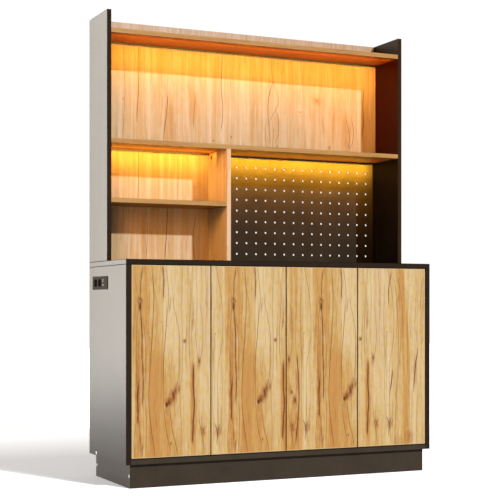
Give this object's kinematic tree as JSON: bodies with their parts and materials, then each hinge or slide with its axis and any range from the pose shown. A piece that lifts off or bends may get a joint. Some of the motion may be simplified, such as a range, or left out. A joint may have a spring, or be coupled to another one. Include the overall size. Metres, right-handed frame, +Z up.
{
  "type": "kitchen buffet cabinet",
  "caption": "Kitchen buffet: dark cupboard base with inset oak doors on a recessed plinth, under an open hutch with shelves, a perforated back panel and light bars.",
  "frame": {"origin": "on the floor, midway between the side panels and midway between the door fronts and the rear edges", "axes": "+X to the right as seen from the front, -Y out of the doors towards the viewer, +Z up"},
  "size_m": [1.202, 0.4, 1.656],
  "materials": {
    "dark_laminate": "satin dark brown melamine laminate on board",
    "oak_laminate": "satin knotty oak print on board",
    "oak_door": "satin knotty oak print, upright grain, pale edges",
    "perforated_board": "dark laminated hardboard",
    "dowel_wood": "turned beech, inside the boards",
    "plated_steel": "nickel plated",
    "plunger_plastic": "pale moulded plastic",
    "latch_plastic": "grey moulded plastic",
    "bar_housing": "dark anodised extrusion",
    "light_lens": "opal lens, warm when lit",
    "plate_plastic": "dark grey moulding",
    "insert_plastic": "black moulding",
    "body_plastic": "black moulding",
    "port_metal": "plated port shells"
  },
  "bodies": {
    "cabinet": {"worktop": "dark_laminate", "base_side_left": "dark_laminate", "base_side_right": "dark_laminate", "base_bottom": "dark_laminate", "base_partition": "dark_laminate", "base_backs": "dark_laminate", "shelf_left": "dark_laminate", "shelf_right": "dark_laminate", "shelf_pins": "plated_steel", "plinth_front": "dark_laminate", "plinth_back": "dark_laminate", "plinth_left": "dark_laminate", "plinth_right": "dark_laminate", "plinth_stretchers": "dark_laminate", "side_screws": "plated_steel", "dowels": "dowel_wood", "hutch_side_left": "dark_laminate", "hutch_side_right": "dark_laminate", "top_shelf": "oak_laminate", "mid_shelf": "oak_laminate", "hutch_divider": "oak_laminate", "small_shelf": "oak_laminate", "upper_back": "oak_laminate", "lower_back": "oak_laminate", "gallery_rail": "oak_laminate", "pegboard": "perforated_board", "led_bar_top": "bar_housing", "led_bar_left": "bar_housing", "led_bar_right": "bar_housing", "led_lenses": "light_lens", "socket_plate": "plate_plastic", "socket_inserts": "insert_plastic", "socket_body": "body_plastic", "usb_ports": "port_metal", "hinge_arms": "plated_steel", "hinge_plates": "plated_steel", "latch_bodies": "latch_plastic"},
    "leaf_1": {"door_1": "oak_door", "hinge_cups_1": "plated_steel", "strike_plate_1": "plated_steel"},
    "links_1": {"hinge_links_1": "plated_steel"},
    "pusher_1": {"plunger_1": "plunger_plastic"},
    "leaf_2": {"door_2": "oak_door", "hinge_cups_2": "plated_steel", "strike_plate_2": "plated_steel"},
    "links_2": {"hinge_links_2": "plated_steel"},
    "pusher_2": {"plunger_2": "plunger_plastic"},
    "leaf_3": {"door_3": "oak_door", "hinge_cups_3": "plated_steel", "strike_plate_3": "plated_steel"},
    "links_3": {"hinge_links_3": "plated_steel"},
    "pusher_3": {"plunger_3": "plunger_plastic"},
    "leaf_4": {"door_4": "oak_door", "hinge_cups_4": "plated_steel", "strike_plate_4": "plated_steel"},
    "links_4": {"hinge_links_4": "plated_steel"},
    "pusher_4": {"plunger_4": "plunger_plastic"}
  },
  "joints": [
    {"name": "door_1_swing", "type": "hinge", "parent": "cabinet", "child": "leaf_1", "pos_m": [-0.573, -0.196, 0.4285], "axis": [0, 0, -1], "range_deg": [0, 95]},
    {"name": "links_1_swing", "type": "hinge", "parent": "leaf_1", "child": "links_1", "pos_m": [-0.5695, -0.187, 0.4285], "axis": [0, 0, 1], "range_deg": [0, 132]},
    {"name": "plunger_1_slide", "type": "slide", "parent": "cabinet", "child": "pusher_1", "axis": [0, -1, 0], "range_m": [0, 0.01]},
    {"name": "door_2_swing", "type": "hinge", "parent": "cabinet", "child": "leaf_2", "pos_m": [-0.008, -0.196, 0.4285], "axis": [0, 0, 1], "range_deg": [0, 90]},
    {"name": "links_2_swing", "type": "hinge", "parent": "leaf_2", "child": "links_2", "pos_m": [-0.0115, -0.187, 0.4285], "axis": [0, 0, -1], "range_deg": [0, 125]},
    {"name": "plunger_2_slide", "type": "slide", "parent": "cabinet", "child": "pusher_2", "axis": [0, -1, 0], "range_m": [0, 0.01]},
    {"name": "door_3_swing", "type": "hinge", "parent": "cabinet", "child": "leaf_3", "pos_m": [0.008, -0.196, 0.4285], "axis": [0, 0, -1], "range_deg": [0, 90]},
    {"name": "links_3_swing", "type": "hinge", "parent": "leaf_3", "child": "links_3", "pos_m": [0.0115, -0.187, 0.4285], "axis": [0, 0, 1], "range_deg": [0, 125]},
    {"name": "plunger_3_slide", "type": "slide", "parent": "cabinet", "child": "pusher_3", "axis": [0, -1, 0], "range_m": [0, 0.01]},
    {"name": "door_4_swing", "type": "hinge", "parent": "cabinet", "child": "leaf_4", "pos_m": [0.573, -0.196, 0.4285], "axis": [0, 0, 1], "range_deg": [0, 95]},
    {"name": "links_4_swing", "type": "hinge", "parent": "leaf_4", "child": "links_4", "pos_m": [0.5695, -0.187, 0.4285], "axis": [0, 0, -1], "range_deg": [0, 132]},
    {"name": "plunger_4_slide", "type": "slide", "parent": "cabinet", "child": "pusher_4", "axis": [0, -1, 0], "range_m": [0, 0.01]}
  ],
  "couplings": [
    {"joint": "links_1_swing", "follows": "door_1_swing", "ratio": 1.3885},
    {"joint": "plunger_1_slide", "follows": "door_1_swing", "m_per_rad": 0.00603},
    {"joint": "links_2_swing", "follows": "door_2_swing", "ratio": 1.3885},
    {"joint": "plunger_2_slide", "follows": "door_2_swing", "m_per_rad": 0.00636},
    {"joint": "links_3_swing", "follows": "door_3_swing", "ratio": 1.3885},
    {"joint": "plunger_3_slide", "follows": "door_3_swing", "m_per_rad": 0.00636},
    {"joint": "links_4_swing", "follows": "door_4_swing", "ratio": 1.3885},
    {"joint": "plunger_4_slide", "follows": "door_4_swing", "m_per_rad": 0.00603}
  ]
}
